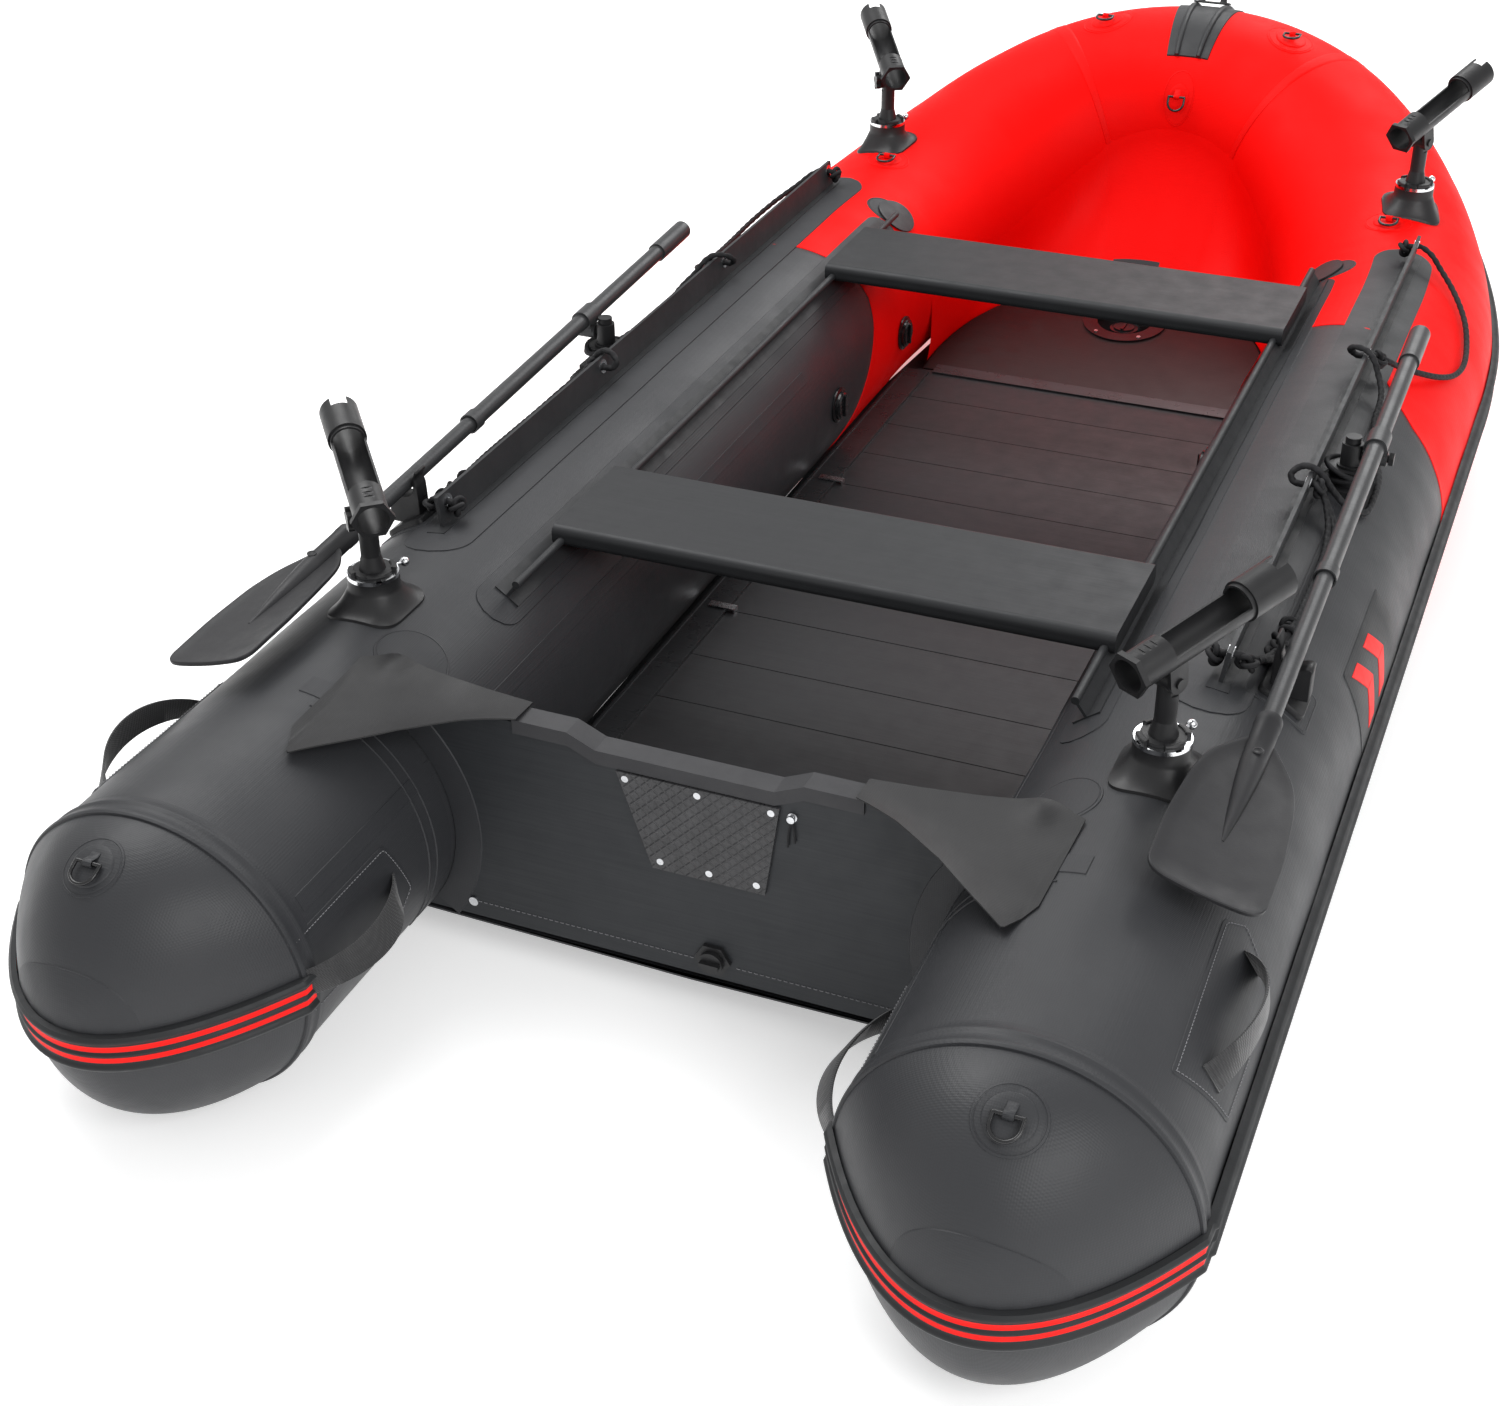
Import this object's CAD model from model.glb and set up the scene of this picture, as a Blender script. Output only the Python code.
"""Looks of the inflatable dinghy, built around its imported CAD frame. Metres; +X starboard, +Y bow, +Z up."""
import math

import bpy
import numpy as np
from mathutils import Matrix, Vector


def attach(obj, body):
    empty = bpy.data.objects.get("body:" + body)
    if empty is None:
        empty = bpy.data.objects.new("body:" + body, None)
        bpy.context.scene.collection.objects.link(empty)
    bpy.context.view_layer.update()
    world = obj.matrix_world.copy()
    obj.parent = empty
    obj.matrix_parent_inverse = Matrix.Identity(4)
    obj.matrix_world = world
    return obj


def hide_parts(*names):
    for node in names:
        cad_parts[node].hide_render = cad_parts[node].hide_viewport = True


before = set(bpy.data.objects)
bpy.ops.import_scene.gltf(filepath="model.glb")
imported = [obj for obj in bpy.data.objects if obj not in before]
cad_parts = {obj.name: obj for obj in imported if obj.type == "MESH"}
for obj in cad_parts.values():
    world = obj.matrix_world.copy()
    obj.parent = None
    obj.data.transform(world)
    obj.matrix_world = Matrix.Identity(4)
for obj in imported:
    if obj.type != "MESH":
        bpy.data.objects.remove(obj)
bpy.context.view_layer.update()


def place_object(name, data):
    obj = bpy.data.objects.new(name, data)
    bpy.context.scene.collection.objects.link(obj)
    return obj


def looking(at, way):
    """Placement of a camera or light that points along a direction."""
    return Matrix.Translation(at) @ way.to_track_quat("-Z", "Y").to_matrix().to_4x4()


# ---- camera and view ----
bpy.context.scene.view_settings.view_transform = "Standard"
CAM_AT = (0.992, -3.291, 1.975)
CAM_AZ, CAM_EL, CAM_ROLL = 23.34, 32.66, -0.79
camera = place_object("camera", bpy.data.cameras.new("camera"))
bpy.context.scene.camera = camera
camera.data.sensor_width = 36.0
camera.data.lens = 52.75
camera.data.clip_end = 60.0
az, el = math.radians(CAM_AZ), math.radians(CAM_EL)
look = Vector((-math.sin(az) * math.cos(el), math.cos(az) * math.cos(el), -math.sin(el)))
camera.matrix_world = looking(CAM_AT, look) @ Matrix.Rotation(math.radians(CAM_ROLL), 4, "Z")

# ---- sizes shared with the CAD ----
R = 0.210
TX = 0.560
STERN_Y = 1.585
CONE_LEN = 0.189
BOW_Y, BOW_LEN, BOW_RISE = 0.689, 0.891, 0.218
TRANSOM_Y = 1.207
BOARD_HALF, BOARD_LEN, BOARD_Y, BOARD_Z, BOARD_RISE = 0.346, 0.440, 0.747, 0.079, 6.0
OAR_AT, OAR_LEAN = (0.675, -0.120, 0.485), 2.5
BLADE_ROOT, BLADE_END = -0.830, -1.150
CLIP_Y, CLIP_TH = -0.735, 31
STERN_ROD, BOW_ROD = (0.565, -1.015, 0.470), (0.550, 1.065, 0.490)
RAD = math.pi / 180
SIDES = (("starboard", False), ("port", True))


# ---- shape of the hull skin ----
def bow_point(t):
    s, c = math.sin(t * RAD), math.cos(t * RAD)
    return (math.copysign(TX * abs(s) ** 0.83, s), BOW_Y + BOW_LEN * c, R + BOW_RISE * c ** 2.7)


def run_length(p):
    """Distance travelled at each point of a path."""
    return np.concatenate([[0], np.cumsum(np.linalg.norm(np.diff(p, axis=0), axis=1))])


def smooth_path(points, step):
    """Dense points along a curve through the given ones, with chord-length spacing."""
    p = np.array(points, float)
    h = np.linalg.norm(np.diff(p, axis=0), axis=1)
    slope = np.diff(p, axis=0) / h[:, None]
    m = np.empty_like(p)
    m[0], m[-1] = slope[0], slope[-1]
    m[1:-1] = (slope[1:] * h[:-1, None] + slope[:-1] * h[1:, None]) / (h[1:] + h[:-1])[:, None]
    out = []
    for i in range(len(h)):
        n = max(1, int(math.ceil(h[i] / step)))
        for k in range(n + (i == len(h) - 1)):
            u = k / n
            out.append(p[i] * (2 * u ** 3 - 3 * u ** 2 + 1) + p[i + 1] * (3 * u ** 2 - 2 * u ** 3)
                       + h[i] * (m[i] * (u ** 3 - 2 * u ** 2 + u) + m[i + 1] * (u ** 3 - u ** 2)))
    return np.array(out)


BOW_ANGLES = [90, 75, 60, 46, 33, 21, 10]
half = [(TX, -STERN_Y, R), (TX, 0.0, R), (TX, 0.435, R), (TX, 0.6, R)] + [bow_point(t) for t in BOW_ANGLES]
AXIS = smooth_path(half + [(-x, y, z) for x, y, z in reversed(half)], 0.006)
AXIS_S = run_length(AXIS)
AXIS_T = np.gradient(AXIS, AXIS_S, axis=0)
TOTAL = float(AXIS_S[-1])
NOSE = TOTAL / 2


def along(y):
    """Distance along the starboard chamber of a place on its straight part."""
    return y + STERN_Y


def unit(v):
    return v / np.linalg.norm(v, axis=-1, keepdims=True)


def axis_frame(s):
    c = np.stack([np.interp(s, AXIS_S, AXIS[:, k]) for k in range(3)], -1)
    t = unit(np.stack([np.interp(s, AXIS_S, AXIS_T[:, k]) for k in range(3)], -1))
    n = unit(np.cross(t, [0.0, 0.0, 1.0]))
    return c, n, np.cross(n, t)


def skin_base(s, th):
    c, n, u = axis_frame(np.clip(s, 0, TOTAL))
    q = np.clip(-s / CONE_LEN, 0, 1)
    w = R * np.sqrt(1 - q)
    h = R * np.sqrt(1 - q * q)
    p = c + (w * np.sin(th))[..., None] * n + (h * np.cos(th))[..., None] * u
    p[..., 1] += np.minimum(s, 0)
    return p


def waves(s, th):
    """Slow unevenness of an inflated skin, up to a millimetre, the same on both sides."""
    s = np.minimum(s, TOTAL - s)
    slow = np.sin(9.0 * s + 2 * th) + np.sin(17.0 * s - 3 * th + 1.1) + 0.6 * np.sin(31.0 * s + 5 * th)
    return 0.00035 * slow * np.clip(s / 0.05, 0, 1)


def skin(s, th, lift=0.0):
    """Points on the hull: s metres from the starboard stern seam, th radians outboard from the top."""
    s, th, lift = np.broadcast_arrays(np.asarray(s, float), np.asarray(th, float), np.asarray(lift, float))
    e = 2e-4
    a = np.where(s < 0, np.maximum(s, -CONE_LEN + 2 * e), s)
    ahead = np.minimum(a + e, np.where(a < 0, -1e-9, TOTAL))
    behind = a - np.where(a > e, e, np.where(a < 0, e, 0))
    ds = skin_base(ahead, th) - skin_base(behind, th)
    dt = skin_base(a, th + e) - skin_base(a, th - e)
    ds = np.where(np.linalg.norm(ds, axis=-1, keepdims=True) < 1e-9, np.array([0.0, 1.0, 0.0]), ds)
    n = unit(np.cross(dt, ds))
    return skin_base(s, th) + n * (lift + waves(s, th))[..., None]


def locate(x, y, z):
    """(s, th) of the place on the hull nearest to a point."""
    p = np.array([x, y, z], float)
    if y < -STERN_Y:
        return y + STERN_Y, math.atan2(x - TX, z - R)
    i = int(np.argmin(np.linalg.norm(AXIS - p, axis=1)))
    c, n, u = axis_frame(AXIS_S[i])
    return float(AXIS_S[i]), math.atan2(float((p - c) @ n), float((p - c) @ u))


# ---- mesh helpers ----
def flipped(faces):
    return [f[::-1] for f in faces]


def piece(name, verts, faces, mats, body="hull", slot=None, replaces=(), face_mat=None, crease=40,
          mirror=False):
    verts = np.array(verts, float).reshape(-1, 3)
    faces = [tuple(int(i) for i in f) for f in faces]
    if mirror:
        verts = verts * [-1, 1, 1]
        faces = flipped(faces)
    mesh = bpy.data.meshes.new(name)
    mesh.from_pydata([tuple(v) for v in verts], [], faces)
    mesh.update()
    for mat in mats:
        mesh.materials.append(M[mat])
    if face_mat is not None:
        mesh.polygons.foreach_set("material_index", np.array(face_mat, np.int32))
    mesh.shade_smooth()
    mesh.set_sharp_from_angle(angle=math.radians(crease))
    obj = place_object(name, mesh)
    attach(obj, body)
    if replaces:
        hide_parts(*replaces)
    return obj


def grid_faces(nu, nv, closed_u=False, closed_v=False):
    return [(i * nv + j, i * nv + (j + 1) % nv, (i + 1) % nu * nv + (j + 1) % nv, (i + 1) % nu * nv + j)
            for i in range(nu - (not closed_u)) for j in range(nv - (not closed_v))]


def caps(rows, n):
    """The first and the last row of a grid, each as one face."""
    return [tuple(range(n))[::-1], tuple(range((rows - 1) * n, rows * n))]


def loft(rows, n):
    """Rows that close on themselves, with both ends capped."""
    return grid_faces(rows, n, closed_v=True) + caps(rows, n)


class Batch:
    """Several shells gathered into one mesh."""
    def __init__(self):
        self.verts, self.faces = [], []

    def add(self, verts, faces, mirror=False):
        verts = np.array(verts, float).reshape(-1, 3)
        if mirror:
            verts = verts * [-1, 1, 1]
        base = len(self.verts)
        self.verts.extend(verts.tolist())
        for f in flipped(faces) if mirror else faces:
            self.faces.append(tuple(base + int(i) for i in f))

    def both(self, verts, faces):
        self.add(verts, faces)
        self.add(verts, faces, mirror=True)

    def make(self, name, mat, **kw):
        return piece(name, self.verts, self.faces, [mat], **kw)


def on_skin(s0, th0):
    """Maps (along, around) metres from a place on the hull, and a lift, to points."""
    return lambda u, v, lift: skin(s0 + np.asarray(u), th0 + np.asarray(v) / R, lift)


def on_tube(y, degrees):
    """The same, from a place on the straight part of the starboard chamber."""
    return on_skin(along(y), math.radians(degrees))


def resample(outline, step):
    p = np.array(outline, float)
    out = []
    for a, b in zip(p, np.roll(p, -1, axis=0)):
        n = max(1, int(math.ceil(np.linalg.norm(b - a) / step)))
        out.extend(a + (b - a) * k / n for k in range(n))
    return np.array(out)


def rounded(outline, r, n=5):
    """The outline with its corners rounded."""
    p = np.array(outline, float)
    out = []
    for i in range(len(p)):
        a, b, c = p[i - 1], p[i], p[(i + 1) % len(p)]
        d1, d2 = unit(a - b), unit(c - b)
        k = min(r, 0.45 * np.linalg.norm(a - b), 0.45 * np.linalg.norm(c - b))
        q0, q2 = b + d1 * k, b + d2 * k
        for t in np.linspace(0, 1, n):
            out.append((1 - t) ** 2 * q0 + 2 * t * (1 - t) * b + t * t * q2)
    return np.array(out)


def rectangle(half, v0, v1, r, step, n=5):
    """A rounded rectangle, half long each way and from v0 to v1 across."""
    return resample(rounded([(-half, v0), (half, v0), (half, v1), (-half, v1)], r, n), step)


def turning(p):
    """Twice the area of a closed outline: above zero when it runs anticlockwise."""
    nxt = np.roll(p, -1, axis=0)
    return np.sum(p[:, 0] * nxt[:, 1] - nxt[:, 0] * p[:, 1])


def inset(p, d):
    """Moves a closed outline inward."""
    t = unit(np.roll(p, -1, axis=0) - np.roll(p, 1, axis=0))
    n = np.stack([-t[:, 1], t[:, 0]], -1)
    return p + n * d * np.sign(turning(p))


def patch(place, outline, profile):
    """A glued patch: profile lists (inset, lift) from its edge inward, and the rest is flat."""
    p = np.array(outline, float)
    if turning(p) > 0:
        p = p[::-1]
    rings = [(inset(p, d), lift) for d, lift in profile]
    last, lift = rings[-1]
    mid = last.mean(0)
    rings += [(mid + (last - mid) * f, lift) for f in (0.75, 0.5, 0.25)]
    n = len(p)
    verts = [place(q[:, 0], q[:, 1], np.full(n, z)) for q, z in rings]
    verts = np.concatenate(verts + [place(np.array([mid[0]]), np.array([mid[1]]), np.array([lift]))])
    faces = [(i * n + k, (i + 1) * n + k, (i + 1) * n + (k + 1) % n, i * n + (k + 1) % n)
             for i in range(len(rings) - 1) for k in range(n)]
    top = (len(rings) - 1) * n
    faces += [(top + k, len(rings) * n, top + (k + 1) % n) for k in range(n)]
    return verts, faces


def ellipse(ru, rv):
    a = np.linspace(0, 2 * math.pi, 56, endpoint=False)
    return np.stack([ru * np.cos(a), rv * np.sin(a)], -1)


def circle(r):
    return ellipse(r, r)


def strip(place, us, profile):
    """A band along us whose cross-section is a list of (around, lift)."""
    v, z = np.transpose(profile)
    verts = place(us[:, None] + 0 * v[None], v[None] + 0 * us[:, None], z[None] + 0 * us[:, None])
    return verts, grid_faces(len(us), len(v))


def tube_verts(path, radius, sides=12, twist=None):
    p = np.array(path, float)
    t = unit(np.gradient(p, axis=0))
    up = np.array([0.0, 0.0, 1.0])
    u = [unit(np.cross(t[0], up if abs(t[0] @ up) < 0.95 else np.array([1.0, 0.0, 0.0])))]
    for k in range(1, len(p)):
        w = u[-1] - t[k] * (u[-1] @ t[k])
        u.append(w / np.linalg.norm(w))
    u = np.array(u)
    v = np.cross(t, u)
    a = np.linspace(0, 2 * math.pi, sides, endpoint=False)
    r = radius if twist is None else twist(np.arange(len(p))[:, None], a[None])
    r = np.broadcast_to(r, (len(p), sides))
    return p[:, None] + r[..., None] * (np.cos(a)[None, :, None] * u[:, None]
                                        + np.sin(a)[None, :, None] * v[:, None])


def tube(path, radius, sides=12, twist=None):
    v = tube_verts(path, radius, sides, twist)
    return v.reshape(-1, 3), flipped(loft(len(v), sides))


def turned(profile, place, sides=32):
    """A solid of revolution: profile lists (radius, height) from the bottom axis up to the top axis."""
    a = np.linspace(0, 2 * math.pi, sides, endpoint=False)
    r, z = np.transpose(profile)
    local = np.stack([r[:, None] * np.cos(a), r[:, None] * np.sin(a), z[:, None] + 0 * a], -1).reshape(-1, 3)
    verts = [place @ Vector(p) for p in local]
    return np.array(verts), loft(len(profile), sides)


# ---- materials ----
def tree(name):
    m = bpy.data.materials.new(name)
    m.use_nodes = True
    nt = m.node_tree
    shader = nt.nodes["Principled BSDF"]
    coord = nt.nodes.new("ShaderNodeTexCoord").outputs["Object"]
    return m, nt, shader, coord


def noise_node(nt, coord, scale, detail=3.0, stretch=None):
    if stretch:
        mapping = nt.nodes.new("ShaderNodeMapping")
        mapping.inputs["Scale"].default_value = stretch
        nt.links.new(coord, mapping.inputs["Vector"])
        coord = mapping.outputs["Vector"]
    n = nt.nodes.new("ShaderNodeTexNoise")
    n.inputs["Scale"].default_value = scale
    n.inputs["Detail"].default_value = detail
    n.inputs["Roughness"].default_value = 0.55
    nt.links.new(coord, n.inputs["Vector"])
    return n.outputs["Fac"]


def wave_node(nt, coord, scale, direction):
    n = nt.nodes.new("ShaderNodeTexWave")
    n.bands_direction = direction
    n.inputs["Scale"].default_value = scale
    nt.links.new(coord, n.inputs["Vector"])
    return n.outputs["Fac"]


def roughen(nt, shader, fac, rough):
    """Roughness that runs between two values over the middle of a texture's range."""
    n = nt.nodes.new("ShaderNodeMapRange")
    for socket, value in zip(("From Min", "From Max", "To Min", "To Max"), (0.3, 0.7, *rough)):
        n.inputs[socket].default_value = value
    nt.links.new(fac, n.inputs["Value"])
    nt.links.new(n.outputs["Result"], shader.inputs["Roughness"])


def tint(nt, shader, fac, c1, c2):
    """Base colour that blends from c1 to c2 over the middle of a texture's range."""
    n = nt.nodes.new("ShaderNodeValToRGB")
    for stop, place, color in zip(n.color_ramp.elements, (0.3, 0.7), (c1, c2)):
        stop.position = place
        stop.color = (*color, 1)
    nt.links.new(fac, n.inputs["Fac"])
    nt.links.new(n.outputs["Color"], shader.inputs["Base Color"])


def math_node(nt, op, a, b):
    n = nt.nodes.new("ShaderNodeMath")
    n.operation = op
    for k, v in enumerate((a, b)):
        if isinstance(v, (int, float)):
            n.inputs[k].default_value = v
        else:
            nt.links.new(v, n.inputs[k])
    return n.outputs[0]


def bump(nt, shader, height, distance, strength):
    b = nt.nodes.new("ShaderNodeBump")
    b.inputs["Distance"].default_value = distance
    b.inputs["Strength"].default_value = strength
    nt.links.new(height, b.inputs["Height"])
    if shader.inputs["Normal"].links:
        nt.links.new(shader.inputs["Normal"].links[0].from_socket, b.inputs["Normal"])
    nt.links.new(b.outputs["Normal"], shader.inputs["Normal"])


def coated(name, c1, c2, rough=(0.40, 0.52), spec=0.32):
    """Satin coated fabric: a faint woven scrim under the film, slow waves and slight dust."""
    m, nt, sh, co = tree(name)
    tint(nt, sh, noise_node(nt, co, 3.1, 4.0), c1, c2)
    roughen(nt, sh, noise_node(nt, co, 11.0, 5.0), rough)
    sh.inputs["Specular IOR Level"].default_value = spec
    across = math_node(nt, "ADD", wave_node(nt, co, 110.0, "Y"), wave_node(nt, co, 110.0, "Z"))
    bump(nt, sh, math_node(nt, "ADD", wave_node(nt, co, 110.0, "X"), across), 0.00012, 0.5)
    bump(nt, sh, noise_node(nt, co, 26.0, 4.0), 0.0012, 0.35)
    return m


def rubbery(name, c1, c2, rough=(0.45, 0.62), grain=600.0, depth=0.0002, spec=0.28):
    """Moulded rubber or plastic: a fine grain over slow unevenness."""
    m, nt, sh, co = tree(name)
    tint(nt, sh, noise_node(nt, co, 9.0, 5.0), c1, c2)
    roughen(nt, sh, noise_node(nt, co, 40.0, 4.0), rough)
    sh.inputs["Specular IOR Level"].default_value = spec
    bump(nt, sh, noise_node(nt, co, grain, 2.0), depth, 0.6)
    bump(nt, sh, noise_node(nt, co, 30.0, 3.0), 0.0006, 0.3)
    return m


def metal(name, c1, c2, rough=(0.2, 0.34)):
    """Bare metal with fine drawn lines."""
    m, nt, sh, co = tree(name)
    lines = (4, 60, 60)
    sh.inputs["Metallic"].default_value = 1.0
    tint(nt, sh, noise_node(nt, co, 14.0, 4.0, lines), c1, c2)
    roughen(nt, sh, noise_node(nt, co, 42.0, 4.0, lines), rough)
    bump(nt, sh, noise_node(nt, co, 56.0, 3.0, lines), 0.0001, 0.4)
    return m


def webbing(name, c1, c2):
    """Woven strap."""
    m, nt, sh, co = tree(name)
    ribs = math_node(nt, "ADD", wave_node(nt, co, 95.0, "Y"), wave_node(nt, co, 160.0, "DIAGONAL"))
    tint(nt, sh, math_node(nt, "MULTIPLY", ribs, 0.5), c1, c2)
    sh.inputs["Sheen Weight"].default_value = 0.25
    roughen(nt, sh, noise_node(nt, co, 60.0, 4.0), (0.55, 0.75))
    bump(nt, sh, ribs, 0.0004, 0.7)
    return m


def anodised(name, c1, c2, rough):
    """Coated or anodised alloy, drawn lengthwise."""
    m, nt, sh, co = tree(name)
    sh.inputs["Metallic"].default_value = 0.25
    sh.inputs["Specular IOR Level"].default_value = 0.3
    fine = noise_node(nt, co, 10.0, 5.0, (0.6, 30, 30))
    tint(nt, sh, fine, c1, c2)
    roughen(nt, sh, noise_node(nt, co, 24.0, 5.0), rough)
    bump(nt, sh, fine, 0.0003, 0.4)
    return m


def pad_grid(name, c1, c2):
    """Motor pad: a moulded diamond grid."""
    m, nt, sh, co = tree(name)
    tint(nt, sh, noise_node(nt, co, 30.0, 4.0), c1, c2)
    roughen(nt, sh, noise_node(nt, co, 50.0, 4.0), (0.42, 0.58))
    turned_45 = nt.nodes.new("ShaderNodeMapping")
    turned_45.inputs["Rotation"].default_value = (0, math.radians(45), 0)
    nt.links.new(co, turned_45.inputs["Vector"])
    slant = turned_45.outputs["Vector"]
    grid = math_node(nt, "MAXIMUM", wave_node(nt, slant, 26.0, "X"), wave_node(nt, slant, 26.0, "Z"))
    bump(nt, sh, math_node(nt, "POWER", grid, 6.0), 0.0015, 0.8)
    return m


M = {"charcoal": coated("charcoal_coated_fabric", (0.027, 0.028, 0.031), (0.033, 0.034, 0.037)),
     "charcoal_patch": coated("charcoal_patch_fabric", (0.024, 0.025, 0.028), (0.030, 0.031, 0.034),
                              (0.44, 0.58)), "flap": coated("flap_fabric", (0.012, 0.012, 0.013),
        (0.016, 0.016, 0.017), (0.46, 0.58)), "red": coated("red_coated_fabric", (0.86, 0.001, 0.0006),
        (0.90, 0.002, 0.001), (0.46, 0.58), 0.07), "red_patch": coated("red_patch_fabric",
        (0.80, 0.001, 0.0006), (0.85, 0.002, 0.001), (0.46, 0.58), 0.09),
        "black_patch": coated("black_patch_fabric", (0.012, 0.013, 0.014), (0.019, 0.020, 0.022),
                              (0.42, 0.56)), "strake": rubbery("strake_rubber", (0.014, 0.015, 0.016),
        (0.021, 0.022, 0.024), (0.42, 0.56), 300.0), "stripe": rubbery("stripe_red", (0.84, 0.006, 0.004),
        (0.90, 0.010, 0.007), (0.4, 0.5), 300.0, 0.0001, 0.15),
        "rubber": rubbery("rail_rubber", (0.022, 0.023, 0.025), (0.030, 0.031, 0.033), (0.42, 0.56)),
        "black_rubber": rubbery("black_rubber", (0.010, 0.010, 0.011), (0.017, 0.017, 0.018), (0.36, 0.52)),
        "plastic": rubbery("moulded_plastic", (0.012, 0.012, 0.013), (0.018, 0.018, 0.019), (0.34, 0.48),
                           900.0, 0.00015, 0.35), "gloss": rubbery("gloss_plastic", (0.008, 0.008, 0.009),
        (0.012, 0.012, 0.013), (0.16, 0.26), 500.0, 0.00005, 0.5),
        "blade": rubbery("blade_plastic", (0.018, 0.018, 0.020), (0.025, 0.025, 0.027), (0.40, 0.52), 700.0,
                         0.00018), "cap_strip": rubbery("cap_strip", (0.030, 0.030, 0.033),
        (0.038, 0.038, 0.041), (0.46, 0.58)), "thread": rubbery("thread", (0.16, 0.16, 0.17),
        (0.22, 0.22, 0.23), (0.6, 0.75)), "rope": rubbery("rope_fibre", (0.008, 0.008, 0.009),
        (0.020, 0.020, 0.022), (0.6, 0.8), 900.0, 0.0004), "chrome": metal("chrome", (0.72, 0.73, 0.75),
        (0.82, 0.83, 0.85), (0.06, 0.16)), "steel": metal("brushed_steel", (0.55, 0.56, 0.58),
        (0.68, 0.69, 0.71)), "webbing": webbing("black_webbing", (0.010, 0.010, 0.011),
        (0.022, 0.022, 0.024)), "floor": anodised("floor_aluminium", (0.020, 0.020, 0.022),
        (0.026, 0.026, 0.028), (0.42, 0.55)), "seat": anodised("seat_coating", (0.022, 0.023, 0.025),
        (0.029, 0.030, 0.032), (0.42, 0.55)), "board": anodised("bow_board_coating", (0.012, 0.006, 0.006),
        (0.018, 0.009, 0.009), (0.36, 0.46)), "stringer": anodised("stringer_alloy", (0.030, 0.031, 0.033),
        (0.045, 0.046, 0.049), (0.24, 0.36)), "oar": anodised("oar_alloy", (0.036, 0.037, 0.039),
        (0.054, 0.055, 0.057), (0.3, 0.42)), "transom": anodised("transom_coating", (0.022, 0.024, 0.027),
        (0.029, 0.031, 0.034), (0.4, 0.54)), "pad": pad_grid("motor_pad_grid", (0.030, 0.030, 0.032),
        (0.044, 0.044, 0.047)),}


def dress(mat, *nodes):
    """Gives CAD nodes one material all over."""
    for node in nodes:
        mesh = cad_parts[node].data
        mesh.materials.clear()
        mesh.materials.append(M[mat])
        mesh.polygons.foreach_set("material_index", np.zeros(len(mesh.polygons), np.int32))


# ---- air chambers ----
ring = np.radians(np.unique(np.concatenate([np.arange(-180, 180, 3.0), np.arange(0, 42, 1.0),
        np.arange(78, 102, 1.0)])))
ROUND = len(ring)
# where the red bow chamber begins, by angle round the chamber: degrees outboard from the top, and Y
EDGE = np.array([(-180, 0.300), (-150, 0.315), (-123, 0.342), (-100, 0.392), (-84, 0.440), (-70, 0.482),
                 (-57, 0.508), (-42, 0.511), (-30, 0.500), (-9, 0.484), (4, 0.470), (10, 0.380), (21, 0.283),
                 (30, 0.232), (40, 0.200), (60, 0.178), (80, 0.165), (88, 0.130), (92, 0.130), (100, 0.165),
                 (130, 0.240), (180, 0.300)])


def edge_y(th):
    return np.interp(np.degrees(th), EDGE[:, 0], EDGE[:, 1])


start = along(edge_y(ring))
s_grid = np.concatenate([start[None] * np.linspace(0, 1, 90)[:, None], start[None] + 0.003])
lift = np.zeros(s_grid.shape)
lift[-1] = -0.0012
side_v = skin(s_grid, np.broadcast_to(ring, s_grid.shape), lift)
side_f = grid_faces(len(s_grid), ROUND, closed_v=True)
for name, flip in SIDES:
    piece(f"chamber_{name}", side_v, side_f, ["charcoal"], slot=f"{name}_tube", replaces=[f"{name}_tube"],
          mirror=flip)

inner = np.linspace(0.0, 1.0, 320)
s_bow = start[None] + 0.004 + (TOTAL - 2 * start[None] - 0.008) * inner[:, None]
lead = np.stack([start, start + 0.0008])
s_bow = np.concatenate([lead, s_bow, TOTAL - lead[::-1]])
from_edge = np.minimum(s_bow, TOTAL - s_bow) - start[None]
lift_bow = 0.0004 + 0.0008 * np.exp(-(from_edge / 0.012) ** 2)
lift_bow[0] = lift_bow[-1] = -0.0006


def distance_to_bend(t):
    """Distance along the axis of a place on the bow, given by its angle."""
    x, y, _ = bow_point(t)
    return float(AXIS_S[np.argmin(np.abs(AXIS[:, 0] - x) + np.abs(AXIS[:, 1] - y))])


seams = [distance_to_bend(t) for t in (75, 46, 21, -21, -46, -75)]
inward = 0.35 + 0.65 * np.clip(-np.sin(ring)[None], 0, 1)
for k, s in enumerate(seams):
    pull = 0.0016 if k in (2, 3) else 0.0009
    lift_bow -= pull * np.exp(-((s_bow - s) / 0.022) ** 2) * inward
bow_ring = np.broadcast_to(ring, s_bow.shape)
piece("chamber_bow", skin(s_bow, bow_ring, lift_bow), grid_faces(len(s_bow), ROUND, closed_v=True),
      ["red"], slot="bow_tube", replaces=["bow_tube", "tube_bulkheads"])

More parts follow.
